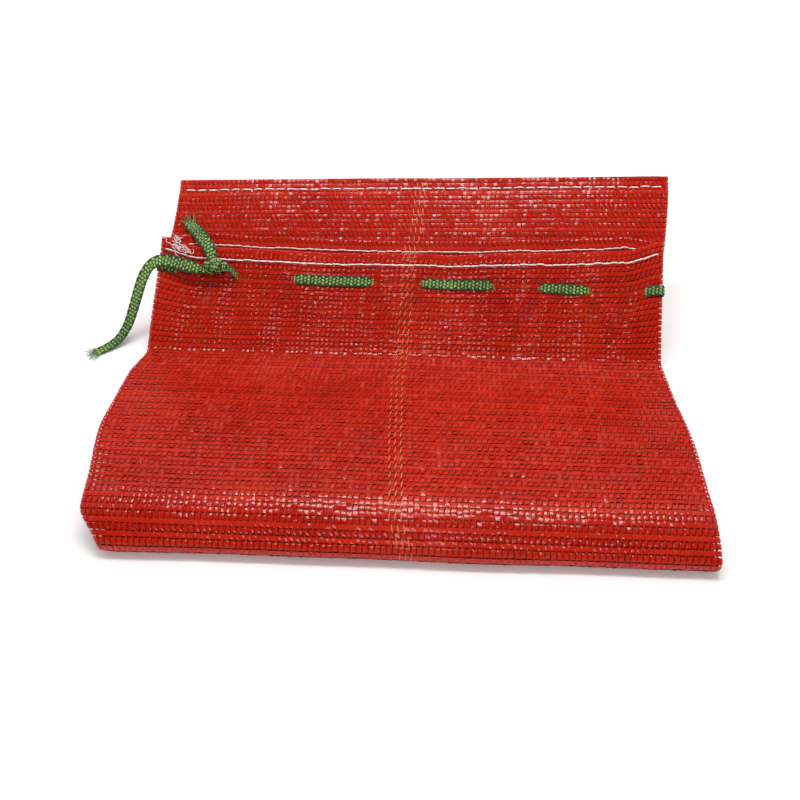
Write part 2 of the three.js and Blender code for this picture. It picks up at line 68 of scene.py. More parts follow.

# %% [markdown]
# ## The folded surface
# Seen from the side the bag is one line: up the back, down to the crease, flat along the floor,
# round the nose and back over the hump to the second crease and the mouth. A line of corners,
# each rounded with its own radius, is easier to shape than a free curve, and it keeps
# its length, as cloth does. Lengths are millimetres, as in the solid model.

# %% Sizes of the bag
BAG_WIDTH = 404.0
WALL = 1.2
PANEL_GAP = 3.0
RUN_GAP = 0.6
FLOOR_RUN = 190.0
ROLL_HEIGHT = 26.4
NOSE_RADIUS = 5.0
NOSE_REACH = 8.6
BROW_RADIUS = 44.0
BROW_LIFT = 0.8
CREASE_RADIUS = 7.0
MOUTH_RISE = 87.5
MOUTH_RISE_ANGLE = math.radians(43.2)
BOTTOM_RISE = 158.0
BOTTOM_RISE_ANGLE = math.radians(36.0)
HUMP_LEAN = 4.0
HEM_DEPTH = 10.0
MOUTH_GAPE = 9.0
GAPE_DEPTH = 52.0
MOUTH_LEAD = 14.0
MOUTH_SLANT = 5.0
MOUTH_SAG = 6.5
BOTTOM_SLANT = 12.0
TURN_FROM = 0.84
TAPE_WIDTH = 9.0
TAPE_THICK = 1.0
TAPE_DOWN = 23.0
TAPE_DROP = 14.0
PASS_LENGTH = 12.0
GATHER_DEPTH = 3.0
REAR_GATHER_DEPTH = 1.0
GATHER_FADE = 60.0
ORIGIN_SHIFT = (-0.735, -161.102, 0.0)

PANEL_HALF = PANEL_GAP / 2 + WALL
WALL_MIDDLE = PANEL_HALF - WALL / 2
CREASE_TOP = 3 * PANEL_HALF + RUN_GAP
LOWER_CREASE_Y = FLOOR_RUN + 2 * PANEL_HALF * math.tan(BOTTOM_RISE_ANGLE / 2)

# name, y, z, radius, then shares of the bag's width: width, shift to the right, slant of the cut
FOLD_CORNERS = [
    ("bottom", LOWER_CREASE_Y + BOTTOM_RISE * math.cos(BOTTOM_RISE_ANGLE),
     PANEL_HALF + BOTTOM_RISE * math.sin(BOTTOM_RISE_ANGLE), 0, 1.005, 0.022, -BOTTOM_SLANT / BAG_WIDTH),
    ("lower_crease", LOWER_CREASE_Y, PANEL_HALF, CREASE_RADIUS + 2 * PANEL_HALF + RUN_GAP, 1, -0.014, 0),
    ("nose", PANEL_HALF - NOSE_RADIUS - NOSE_REACH, PANEL_HALF, NOSE_RADIUS, 0.945, 0.018, 0),
    ("brow", ROLL_HEIGHT * 0.72, ROLL_HEIGHT - PANEL_HALF + BROW_LIFT, BROW_RADIUS, 0.976, 0, 0),
    ("shoulder", FLOOR_RUN * 0.53, CREASE_TOP + (ROLL_HEIGHT - PANEL_HALF - CREASE_TOP) * 0.68,
     FLOOR_RUN * 1.6, 1.014, -0.009, 0),
    ("hollow", FLOOR_RUN * 0.83, CREASE_TOP + 1, FLOOR_RUN, 1.018, -0.0125, 0),
    ("upper_crease", FLOOR_RUN, CREASE_TOP, CREASE_RADIUS, 1, -0.007, 0),
    ("mouth", FLOOR_RUN + MOUTH_RISE * math.cos(MOUTH_RISE_ANGLE),
     CREASE_TOP + MOUTH_RISE * math.sin(MOUTH_RISE_ANGLE), 0, 0.99, 0.002, MOUTH_SLANT / BAG_WIDTH),
]

# %% The fold's line, sampled finely
LINE_STEP = 0.25


def rounded_line(corners):
    """Points and distances along a line with rounded corners, and the distance of each corner."""
    spots = [np.array(c[1:3], float) for c in corners]
    points, marks, length = [spots[0]], {corners[0][0]: 0.0}, 0.0
    for before, corner, after, row in zip(spots, spots[1:], spots[2:], corners[1:]):
        into = (corner - before) / np.linalg.norm(corner - before)
        out = (after - corner) / np.linalg.norm(after - corner)
        turn = math.atan2(into[0] * out[1] - into[1] * out[0], into @ out)
        radius, side = row[3], math.copysign(1, turn)
        start = corner - into * radius * math.tan(abs(turn) / 2)
        length += np.linalg.norm(start - points[-1])
        marks[row[0]] = length + radius * abs(turn) / 2
        centre = start + radius * side * np.array([-into[1], into[0]])
        points.append(start)
        for share in np.linspace(0, 1, max(3, int(radius * abs(turn) / LINE_STEP)))[1:]:
            a = turn * share
            spoke = start - centre
            spun = [spoke[0] * math.cos(a) - spoke[1] * math.sin(a),
                    spoke[0] * math.sin(a) + spoke[1] * math.cos(a)]
            points.append(centre + spun)
        length += radius * abs(turn)
    length += np.linalg.norm(spots[-1] - points[-1])
    marks[corners[-1][0]] = length
    points.append(spots[-1])
    points = np.array(points)
    gone = np.concatenate([[0], np.cumsum(np.linalg.norm(np.diff(points, axis=0), axis=1))])
    return points, gone * length / gone[-1], marks


LINE, LINE_AT, MARKS = rounded_line(FOLD_CORNERS)
LENGTH = LINE_AT[-1]
print("cloth length along the fold, mm:", round(LENGTH, 1))


def on_line(s):
    """Place and direction on the fold's line at distances s, straight on past its ends."""
    inside = np.clip(s, 0, LENGTH)
    y, z = (np.interp(inside, LINE_AT, LINE[:, i]) for i in (0, 1))
    ahead, behind = np.clip(inside + LINE_STEP, 0, LENGTH), np.clip(inside - LINE_STEP, 0, LENGTH)
    ty, tz = (np.interp(ahead, LINE_AT, LINE[:, i]) - np.interp(behind, LINE_AT, LINE[:, i])
              for i in (0, 1))
    size = np.hypot(ty, tz)
    ty, tz = ty / size, tz / size
    return y + ty * (s - inside), z + tz * (s - inside), ty, tz


# %% [markdown]
# ### From the line to the cloth
# The cloth is the line times the bag's width, and a little more: the mouth gapes and sags, the
# drawstring draws the wall in and out, pleats run down from it, and the edges are round. All of
# this sits in one function, so that anything laid with it follows the same folds.

# %% A place anywhere in the cloth
FRONT_PASSES = [(0.275, 0.428), (0.53, 0.665), (0.762, 0.855)]
REAR_PASSES = [(0.2, 0.33), (0.47, 0.6), (0.74, 0.85)]


def smooth(t):
    t = np.clip(t, 0, 1)
    return t * t * (3 - 2 * t)


def column(index, s):
    """A column of the corner table at distances s, eased from corner to corner."""
    at = np.array([MARKS[c[0]] for c in FOLD_CORNERS])
    values = np.array([c[index] for c in FOLD_CORNERS], float)
    i = np.clip(np.searchsorted(at, s) - 1, 0, len(at) - 2)
    share = smooth((s - at[i]) / (at[i + 1] - at[i]))
    return values[i] * (1 - share) + values[i + 1] * share


def near_mouth(s, depth):
    return smooth(1 - (LENGTH - s) / depth)


def gather(passes, share):
    """The cloth bulges where the drawstring is inside and is pressed in where it is outside."""
    pressed = np.zeros_like(share)
    for low, high in passes:
        away = np.abs(share - (low + high) / 2) / ((high - low) / 2 + PASS_LENGTH / BAG_WIDTH)
        dip = np.cos(np.minimum(away, 1) * math.pi / 2) ** 2
        pressed = np.maximum(pressed, np.where(away < 1, dip, 0))
    return (0.5 - pressed) * np.minimum(1, 8 * np.minimum(share, 1 - share))


def tape_drop(across):
    """How much lower than at the left the drawstring lies in the cloth."""
    return TAPE_DROP * ((1 + across) / 2) ** 4


PLEAT_SHARES = (0.105, 0.155, 0.272, 0.43, 0.527, 0.668, 0.76, 0.858, 0.935)
PLEAT_DEPTHS = (1.5, 1.2, 1.6, 1.8, 2.3, 1.7, 2.5, 2.2, 1.5)
PLEAT_SLANTS = (-0.25, 0.1, -0.1, 0.14, -0.2, 0.3, -0.28, 0.22, -0.3)
PLEAT_WIDTH = 4.2
PLEAT_ABOVE = 16.0
PLEAT_BELOW = 74.0
FRONT_PLEATS, REAR_PLEATS = 0.75, 0.5
RUFFLE_DEPTH = 30.0


def fine_waves(across, s, panel):
    """Pleats that run down from each place where the drawstring goes through the cloth, ruffles
    along the mouth's edge, and the slight waver of loose cloth. Right under the drawstring the
    cloth is held nearly flat."""
    x = across * BAG_WIDTH / 2
    below = LENGTH - TAPE_DOWN - tape_drop(across) - s
    fade = smooth(1 + below / PLEAT_ABOVE) * smooth(1 - below / PLEAT_BELOW)
    pleats = np.zeros_like(x)
    for share, depth, slant in zip(PLEAT_SHARES, PLEAT_DEPTHS, PLEAT_SLANTS):
        wide = PLEAT_WIDTH + 0.1 * np.maximum(below, 0)
        away = (x - (2 * share - 1) * BAG_WIDTH / 2 - slant * below) / wide
        pleats += depth * (1.25 * np.exp(-((np.abs(away) - 1.6) ** 2)) - 1.6 * np.exp(-away * away))
    held = 0.3 + 0.7 * smooth((np.abs(below) - 5) / 14)
    pleats *= held * np.where(panel > 0, FRONT_PLEATS, REAR_PLEATS)
    short = 0.9 * np.sin(x / 9.5 + 1.3 * panel) * (0.6 + 0.4 * np.sin(x / 41.0 + panel))
    ruffles = near_mouth(s, RUFFLE_DEPTH) * (short + 0.7 * np.sin(x / 22.0 + 2.2 * panel + 0.5))
    waver = 0.3 * np.sin(x / 37.0 + s / 27.0) + 0.22 * np.sin(x / 19.0 - s / 43.0 + panel)
    return fade * pleats + ruffles + waver


def cloth(across, s, panel, out, waves=1.0):
    """Places in the cloth in metres: across from -1 to 1, s along the fold, panel 1 or -1, and
    out from the middle between the panels."""
    given = [np.asarray(v, float) for v in (across, s, panel, out)]
    across, s, panel, out = np.broadcast_arrays(*given)
    turned = 0.5 * smooth((np.abs(across) - TURN_FROM) / (1 - TURN_FROM))
    lead = MOUTH_LEAD * near_mouth(s + HEM_DEPTH, MOUTH_RISE) * np.where(panel > 0, turned, 1 - turned)
    slanted = column(6, s) * BAG_WIDTH * across / 2
    sag = MOUTH_SAG * near_mouth(s, MOUTH_RISE) * (1 - across**2)
    y, z, ty, tz = on_line(s + slanted + lead - sag)
    from_edge = (1 - np.abs(across)) * BAG_WIDTH / 2
    rounding = np.sqrt(np.clip(1 - np.clip(1 - from_edge / PANEL_HALF, 0, 1) ** 2, 0, 1))
    opened = MOUTH_GAPE / 2 * near_mouth(s, GAPE_DEPTH) * (1 - across**4)
    share = (1 + across) / 2
    front = GATHER_DEPTH * gather(FRONT_PASSES, share)
    rear = -REAR_GATHER_DEPTH * gather(REAR_PASSES, share)
    pull = near_mouth(s + TAPE_DOWN / 2, GATHER_FADE) * np.where(panel > 0, front, rear)
    settled = smooth(from_edge / 12.0) * waves
    height = (panel * (out + opened) * rounding + pull * smooth(from_edge / 4)
              + fine_waves(across, s, panel) * settled)
    top, back = MARKS["brow"], MARKS["upper_crease"]
    on_hump = np.where((s > top) & (s < back), np.sin(math.pi * (s - top) / (back - top)), 0)
    lean = -HUMP_LEAN / 2 * across * on_hump
    x = column(5, s) * BAG_WIDTH + across * column(4, s) * BAG_WIDTH / 2
    spot = np.stack([x, y - tz * height, z + ty * height + lean], axis=-1)
    spot[..., 2] = np.maximum(spot[..., 2], 0.15)
    return (spot + ORIGIN_SHIFT) * MM


# %% [markdown]
# ## Meshes from arrays
# A weave this size has tens of thousands of cells. Looping over Blender operators would take
# minutes, so each piece is worked out as arrays and handed over in one go.

# %% Mesh helpers
def grid_faces(rows, columns, first=0):
    """Quads between the neighbouring rows of a grid of points."""
    i, j = np.meshgrid(np.arange(rows - 1), np.arange(columns - 1), indexing="ij")
    a = i * columns + j
    return (np.stack([a, a + 1, a + 1 + columns, a + columns], -1).reshape(-1, 4) + first).astype(np.int32)


def repeated(faces, copies, points_each):
    """The same quads for many copies of a grid that lie one after the other."""
    offsets = np.arange(copies, dtype=np.int32) * points_each
    return (faces[None] + offsets[:, None, None]).reshape(-1, faces.shape[-1])


def joined(parts):
    """One set of points, quads, UVs and material numbers from several."""
    first, out = 0, [[], [], [], []]
    for points, faces, uv, which in parts:
        out[0].append(points.reshape(-1, 3))
        out[1].append(faces + first)
        out[2].append(uv.reshape(-1, 2))
        out[3].append(np.broadcast_to(which, len(faces)))
        first += len(points.reshape(-1, 3))
    return [np.concatenate(values) for values in out]


def piece(name, parts, materials):
    """A mesh object from its parts, with the weave's coordinates as UVs."""
    points, faces, uv, which = joined(parts)
    mesh = bpy.data.meshes.new(name)
    mesh.vertices.add(len(points))
    mesh.vertices.foreach_set("co", np.ascontiguousarray(points, dtype=np.float32).ravel())
    mesh.loops.add(faces.size)
    mesh.loops.foreach_set("vertex_index", np.ascontiguousarray(faces, dtype=np.int32).ravel())
    mesh.polygons.add(len(faces))
    mesh.polygons.foreach_set("loop_start", np.arange(0, faces.size, 4, dtype=np.int32))
    for material in materials:
        mesh.materials.append(material)
    mesh.polygons.foreach_set("material_index", np.ascontiguousarray(which, dtype=np.int32))
    mesh.polygons.foreach_set("use_smooth", np.ones(len(faces), dtype=bool))
    layer = mesh.uv_layers.new(name="weave")
    layer.data.foreach_set("uv", uv[faces.ravel()].astype(np.float32).ravel())
    mesh.update()
    mesh.validate()
    made = bpy.data.objects.new(name, mesh)
    bpy.context.scene.collection.objects.link(made)
    print(name, "has", len(points), "points and", 2 * len(faces), "triangles")
    return made


# %% [markdown]
# ## Materials
# Colours are written as the hex values a picture shows and turned to linear once. One helper adds
# a node with its settings and links, so that each material reads as a short recipe.

# %% Material helpers
def linear(hex_colour):
    parts = [int(hex_colour[i:i + 2], 16) / 255 for i in (1, 3, 5)]
    return [c / 12.92 if c <= 0.04045 else ((c + 0.055) / 1.055) ** 2.4 for c in parts] + [1.0]


def node(tree, kind, settings=None, links=None, values=None):
    """A node of a kind, with its own settings, links into its sockets and values on them."""
    made = tree.nodes.new(kind)
    for key, value in (settings or {}).items():
        setattr(made, key, value)
    for key, value in (values or {}).items():
        made.inputs[key].default_value = value
    for key, source in (links or {}).items():
        tree.links.new(source, made.inputs[key])
    return made


def principled(name, values):
    material = bpy.data.materials.new(name)
    material.use_nodes = True
    shader = material.node_tree.nodes["Principled BSDF"]
    for key, value in values.items():
        shader.inputs[key].default_value = value
    return material, material.node_tree, shader


def ramp(tree, source, stops):
    made = node(tree, "ShaderNodeValToRGB", links={"Fac": source})
    elements = made.color_ramp.elements
    while len(elements) < len(stops):
        elements.new(0.5)
    for element, (position, colour) in zip(elements, stops):
        element.position = position
        element.color = linear(colour)
    return made.outputs["Color"]


def weighted(tree, source, weight, offset):
    """source times weight plus offset, where offset is a number or another socket."""
    made = node(tree, "ShaderNodeMath", {"operation": "MULTIPLY_ADD"}, {0: source}, {1: weight})
    if isinstance(offset, (int, float)):
        made.inputs[2].default_value = offset
    else:
        tree.links.new(offset, made.inputs[2])
    return made.outputs[0]


# %% [markdown]
# ### Slit film tape
# The tape is polypropylene film, slit and drawn, so it is smooth and glossy with fine lines along
# its length. Each row comes off its reel a little different, so a tone picked for each row, soft
# patches of wear and the drawn lines together break up what would be a flat colour. To the eye
# it gives small hard glints on every bulge, and a body colour that stays deep between them.
# The strands are of the same film, but twisted, so they scatter the light and hardly glint. In the
# green braid the colour also rises and falls with the strand, as painted light and shade: pale
# where it comes to the top, nearly black where it dives under the next one.

# %% Tape materials
POLYPROPYLENE_IOR = 1.49


def film(name, dark, middle, light, roughness, gloss=0.5, line_mm=0.5, bump=0.3, height_shade_share=0.0):
    """Film whose colour runs from dark to light. The last argument is how much of that comes from the
    height of the strand, the fraction of its second UV: painted light up high, painted shade low down."""
    material, tree, shader = principled(name, {"Roughness": roughness, "IOR": POLYPROPYLENE_IOR,
                                               "Specular IOR Level": gloss})
    uv = node(tree, "ShaderNodeUVMap", {"uv_map": "weave"}).outputs["UV"]
    lengthwise = node(tree, "ShaderNodeSeparateXYZ", links={"Vector": uv}).outputs["Y"]
    row = node(tree, "ShaderNodeMath", {"operation": "FLOOR"}, {0: lengthwise}).outputs[0]
    # The fraction of the second UV is the strand's height: it paints light where the strand is high and shade
    # where it dives.
    rise = node(tree, "ShaderNodeMath", {"operation": "FRACT"}, {0: lengthwise}).outputs[0]
    tone = node(tree, "ShaderNodeTexWhiteNoise", {"noise_dimensions": "1D"}, {"W": row}).outputs["Value"]
    along = node(tree, "ShaderNodeMapping", links={"Vector": uv},
                 values={"Scale": (0.06, 4 / line_mm, 1)})
    lines = node(tree, "ShaderNodeTexNoise", links={"Vector": along.outputs[0]},
                 values={"Scale": 1.0, "Detail": 2.0}).outputs["Fac"]
    place = node(tree, "ShaderNodeTexCoord").outputs["Object"]
    patches = node(tree, "ShaderNodeTexNoise", links={"Vector": place},
                   values={"Scale": 24.0, "Detail": 3.0}).outputs["Fac"]
    mixed = weighted(tree, patches, 0.55, weighted(tree, lines, 0.35, -0.06 - 0.63 * height_shade_share))
    mixed = weighted(tree, tone, 0.2, weighted(tree, rise, height_shade_share, mixed))
    colour = ramp(tree, mixed, [(0.2, dark), (0.5, middle), (0.8, light)])
    tree.links.new(colour, shader.inputs["Base Color"])
    scuffs = weighted(tree, patches, 0.16, roughness - 0.08)
    tree.links.new(scuffs, shader.inputs["Roughness"])
    raised = node(tree, "ShaderNodeBump", links={"Height": lines},
                  values={"Strength": bump, "Distance": 0.0001})
    tree.links.new(raised.outputs[0], shader.inputs["Normal"])
    return material


red_tape = film("slit polypropylene tape, red, glossy", "#AE1606", "#C62008", "#DA3212", 0.15, 0.38)
red_strand = film("twisted polypropylene strand, red", "#AC150A", "#C2200F", "#D43220", 0.5, 0.15)
# The darker strand is painted shade: it stands in for the shade where each pair pinches the tape.
shaded_strand = film("twisted polypropylene strand, red, painted shade", "#560803", "#6E0B05", "#860F07", 0.6, 0.15)
orange_strand = film("twisted polypropylene marker strand, orange", "#D4562A", "#E67040", "#F49068",
                     0.32, 0.15)
green_film = film("braided polypropylene film, green", "#0F2805", "#2F5E14", "#AACE70", 0.45,
                  line_mm=0.3, bump=0.5, height_shade_share=1.0)

# %% [markdown]
# ### Sewing thread
# Matt twisted thread: plies wind round it, so a wave along it gives the small ridges that catch
# light, and the fibres scatter so much that there is no clear glint at all.

# %% Thread material
PLY_MM = 0.9


def thread_material():
    material, tree, shader = principled("twisted sewing thread, white", {"Roughness": 0.75, "IOR": 1.5})
    uv = node(tree, "ShaderNodeUVMap", {"uv_map": "weave"}).outputs["UV"]
    turned = node(tree, "ShaderNodeMapping", links={"Vector": uv}, values={"Scale": (1 / PLY_MM, 1, 1)})
    plies = node(tree, "ShaderNodeTexWave", {"bands_direction": "DIAGONAL"},
                 {"Vector": turned.outputs[0]}, {"Scale": 0.8, "Distortion": 0.6})
    # The colour follows the same wave as the bump, a little darker in the grooves between the plies: painted
    # shade.
    colour = ramp(tree, plies.outputs["Fac"], [(0.0, "#EADFDC"), (0.5, "#FBF7F6"), (1.0, "#FFFFFF")])
    tree.links.new(colour, shader.inputs["Base Color"])
    raised = node(tree, "ShaderNodeBump", links={"Height": plies.outputs["Fac"]},
                  values={"Strength": 0.6, "Distance": 0.0002})
    tree.links.new(raised.outputs[0], shader.inputs["Normal"])
    return material


white_thread = thread_material()

# %% [markdown]
# ## The braided drawstring
# The drawstring is a flat braid of film strands. Each strand swings from edge to edge of the tape
# and passes over and under its neighbours by turns, so it comes to the top as a short dash, made
# pale with painted light. The strands are laid a little narrower than the real ones, over a dark
# strip in the middle of the braid: a painted shade for the shade that lies between the dashes of
# a tight braid. One function lays such a braid along any line, given the directions across the
# tape and out of its face, and the drawstring, its knot and its two free ends all come from it.

# %% Lay a braid along a line
STRANDS = 6
SWING_MM = 34.0
BRAID_STEP_MM = 0.55
STRAND_HALF_SHARE = 0.58
SHADE_STRIP_SHARE = 0.46
SHADE_STRIP_DEPTH = 0.15
SHADE_STRIP_TONE = 90.05
WEAVE_HEIGHT = 0.34
STRAND_CROWN = 0.34
STRAND_DEPTH = 0.1
TURN_SHARPNESS = 2.2


def unit(v):
    return v / np.maximum(np.linalg.norm(v, axis=-1, keepdims=True), 1e-9)


def resampled(points, columns, step):
    """Points spaced evenly along a smooth curve through the given ones, and other columns too."""
    gone = np.concatenate([[0], np.cumsum(np.linalg.norm(np.diff(points, axis=0), axis=1))])
    table = np.concatenate([points] + columns, axis=1)
    slopes = np.gradient(table, gone, axis=0)
    at = np.linspace(0, gone[-1], max(3, int(gone[-1] / step) + 1))
    i = np.clip(np.searchsorted(gone, at, side="right") - 1, 0, len(gone) - 2)
    span = (gone[i + 1] - gone[i])[:, None]
    t = (at - gone[i])[:, None] / span
    curve = ((2 * t**3 - 3 * t**2 + 1) * table[i] + (t**3 - 2 * t**2 + t) * span * slopes[i]
             + (3 * t**2 - 2 * t**3) * table[i + 1] + (t**3 - t**2) * span * slopes[i + 1])
    return at, curve


def braid(points, across, out, width, thick):
    """Woven strands along points in mm. width may change along the line."""
    width = np.broadcast_to(np.asarray(width, float), len(points))[:, None]
    at, curve = resampled(points, [unit(across), unit(out), width], BRAID_STEP_MM)
    middle, across, out, width = curve[:, :3], unit(curve[:, 3:6]), unit(curve[:, 6:9]), curve[:, 9]
    # The dark strip under the strands is painted shade: its second UV picks the darkest tone of the film.
    shade_strip = [middle + across * (j * width * SHADE_STRIP_SHARE)[:, None] - out * SHADE_STRIP_DEPTH * thick
            for j in (-1, 0, 1)]
    shade_strip = np.stack(shade_strip, axis=1)
    u = np.broadcast_to(at[:, None], (len(at), 3))
    in_shade = np.stack([u, np.full((len(at), 3), SHADE_STRIP_TONE)], -1)
    parts = [((shade_strip + ORIGIN_SHIFT) * MM, grid_faces(len(at), 3), in_shade, 0)]
    for strand in range(STRANDS):
        phase = (at / SWING_MM + strand / STRANDS) % 1.0
        swing = 4 * np.abs(phase - 0.5) - 1
        direction = np.clip(np.sin(2 * math.pi * phase) * TURN_SHARPNESS, -1, 1)
        height = -direction * np.cos(2 * math.pi * STRANDS * phase)
        half = width * STRAND_HALF_SHARE / STRANDS
        side = swing * (width / 2 - half)
        strip = []
        for j, crown in ((-1, 0.0), (0, 1.0), (1, 0.0)):
            lift = thick * (WEAVE_HEIGHT * height + STRAND_CROWN * crown - STRAND_DEPTH)
            strip.append(middle + across * (side + j * half)[:, None] + out * lift[:, None])
        strip = np.stack(strip, axis=1)
        # The strand's height goes into its second UV, and the green film turns it into painted light on top
        # and painted shade where the strand dives.
        rise = strand * 7 + 0.5 + 0.45 * height
        uv = np.stack([u, np.broadcast_to(rise[:, None], (len(at), 3))], -1)
        parts.append(((strip + ORIGIN_SHIFT) * MM, grid_faces(len(at), 3), uv, 0))
    return parts


# %% [markdown]
# ## The two free ends
# Past the knot one end lies over the mouth onto the run behind it, and the other drops over the
# left edge to the floor. They follow the same points as the solid model. A limp tape turns its
# flat side as it goes, so its face is blended from the wall's direction to the one it ends in.
# Where nothing holds it the braid loosens and spreads, and its cut end frays into film fibres.

# %% Free ends
TAIL_UP_MM = [
    (-151.8, 231.2, 65.2), (-153, 233.5, 67), (-154.5, 236.5, 69), (-156.2, 239.5, 71.8),
    (-158.2, 242.5, 73.8), (-160.5, 246, 74.9), (-163, 249.5, 75.4), (-165.5, 253.5, 75.6),
    (-168, 257.5, 75.7), (-170.5, 261.5, 75.5), (-173, 265.5, 74.9), (-175.5, 269.5, 73.9),
    (-178, 273.5, 72.8), (-180, 277, 72.6), (-181.6, 280, 73.2)]
TAIL_SIDE_MM = [
    (-157, 226.6, 60.9), (-161.5, 227.5, 61.5), (-166.5, 228.5, 62), (-172, 230.2, 62.2),
    (-178, 232.6, 62.4), (-184, 235, 62.6), (-190, 237, 62.6), (-196, 238.4, 62), (-202, 238.8, 60),
    (-207, 238, 56.5), (-211, 236, 51.5), (-214.5, 233.2, 45.5), (-217.5, 230, 38.5),
    (-220.5, 226.4, 31), (-223.5, 222.6, 23.5), (-226.5, 218.6, 16.5), (-230, 214.4, 10.5),
    (-234, 210, 5.8), (-239, 205.2, 2.8), (-245, 200, 1.3), (-251, 195, 0.9)]
KNOT_LENGTH, KNOT_THICK = 20.0, 9.0
KNOT_FROM_LEFT = 50.0
KNOT_UP = 6.0
KNOT_BAND_RISE = 1.2
TAPE_CLEAR = 0.35
END_BUNCH, END_SPREAD = 0.55, 1.25
FIBRE_HALF_MM = 0.42
WALL_WAVES = 0.35
KNOT_SHARE = KNOT_FROM_LEFT / BAG_WIDTH
SIDE_OFFSET = WALL / 2 + TAPE_CLEAR + TAPE_THICK / 2


def wall_at(share, panel):
    """The middle of a wall on the drawstring's line in mm, and the directions up and out of it.
    The tape is stiffer than the cloth, so it follows only a share of its waves."""
    share = np.asarray(share, float)
    across = 2 * share - 1
    s = LENGTH - TAPE_DOWN - tape_drop(across)
    spots = [cloth(across + dx, s + ds, panel, WALL_MIDDLE, WALL_WAVES) / MM - ORIGIN_SHIFT
             for dx, ds in ((0, -5), (0, 5), (-0.008, 0), (0.008, 0))]
    up = unit(spots[1] - spots[0])
    out = unit(np.cross(spots[3] - spots[2], up)) * panel
    return (spots[0] + spots[1]) / 2, up, out


def fray(route, across, out, seed, count=22, reach=9.0):
    """Loose film fibres that spread from the cut end of the tape."""
    rng = np.random.default_rng(seed)
    tip, before = route[-1], route[-3]
    forward = unit(tip - before)
    steps = np.linspace(0, 1, 6)
    parts = []
    for i in range(count):
        side = rng.uniform(-1, 1)
        length = reach * rng.uniform(0.45, 1.0)
        turn = across * (side * 0.5 + rng.normal(0, 0.18)) + out * abs(rng.normal(0, 0.16))
        heading = unit(forward + turn)
        curl = across * rng.normal(0, 1.6) + out * rng.normal(0, 0.7)
        start = tip - forward * 2.0 + across * side * TAPE_WIDTH * 0.44 * END_SPREAD
        line = start + heading * (steps[:, None] * (length + 2.0)) + curl * (steps[:, None] ** 2)
        line[:, 2] = np.maximum(line[:, 2], 0.45)
        half = FIBRE_HALF_MM * (1 - 0.6 * steps)[:, None]
        strip = np.stack([line - across * half, line + out * 0.12, line + across * half], axis=1)
        # Through the film's painted light and shade, each fibre is dark at one edge and pale at the other.
        uv = np.stack([np.broadcast_to(steps[:, None] * length, (6, 3)),
                       np.broadcast_to(60.0 + i + np.array([0.1, 0.5, 0.9]), (6, 3))], -1)
        parts.append(((strip + ORIGIN_SHIFT) * MM, grid_faces(6, 3), uv, 0))
    return parts


def free_end(name, route, end_out, seed):
    """One free end: its braid and its frayed tip, which take the place of the solid model's part."""
    route = np.array(route, float)
    start_out = wall_at(KNOT_SHARE, 1)[2]
    share = smooth(np.arange(len(route)) / (len(route) - 1))[:, None]
    out = unit(start_out * (1 - share) + np.array(end_out) * share)
    along = unit(np.gradient(route, axis=0))
    across = unit(np.cross(out, along))
    flat = unit(np.cross(along, across))
    wide = TAPE_WIDTH * (END_BUNCH + (END_SPREAD - END_BUNCH) * smooth(np.arange(len(route)) / 3))
    made = piece(name + "_braid", braid(route, across, flat, wide, TAPE_THICK), [green_film])
    tip = piece(name + "_frayed_tip", fray(route, across[-1], flat[-1], seed), [green_film])
    for part in (made, tip):
        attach(part, "root")
    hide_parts(name)


RISING = (0.0, -math.sin(BOTTOM_RISE_ANGLE), math.cos(BOTTOM_RISE_ANGLE))
free_end("tail_up", TAIL_UP_MM, RISING, 5)
free_end("tail_side", TAIL_SIDE_MM, (0.0, 0.0, 1.0), 8)

# %% [markdown]
# ## The weave
# Flat tapes run round the bag, and a pair of thinner strands is twisted round them at each
# column: one strand passes over a tape where the other passes under, and they swap in the gap.
# A texture would not show the notched edges or the layers through the gaps, so the tapes
# and strands are laid as real strips. Between two columns a tape bulges like a small pillow,
# and at a column the strands pinch it: this is what makes the rows of little glints. So each
# column takes three steps along a tape, one pinched and two on the pillow, and every pillow
# bulges and tilts a little differently. One strand of each pair is darker, a painted shade for
# the pinch where it presses into the tape, and in the three middle columns the other one is the
# orange marker strand. The inner panel was pressed against the fold, so its pillows are flatter,
# and its columns lie a third of a column aside, so that they don't line up with those in front
# of them.

# %% Lay the tapes and the strands
COLUMNS = 104
ROWS = 158
ROW_PITCH = LENGTH / ROWS
COLUMN_STEPS = 3
TAPE_SHARES = (0.85, 0.8)
PRESSED = {1: 1.0, -1: 0.45}
PINCH = 0.78
SHOULDER = 0.05
CROWNS = (0.46, 0.3)
CROWN_PROFILE = np.array([0.35, 1, 0.35])
ROW_WANDER, STEP_WANDER = 0.07, 0.02
PILLOW_SPREAD, STEP_SPREAD = 0.25, 0.05
TILT_SPREAD, CREASE_SPREAD = 0.15, 0.06
STRAND_WIDTHS = (1.0, 0.7)
STRAND_LIFT = 0.36
STRAND_SWAP = 0.4
CENTRE_COLUMNS = (51, 52, 53)
CENTRE_WIDTH = 0.7
HEM_ROWS = 3


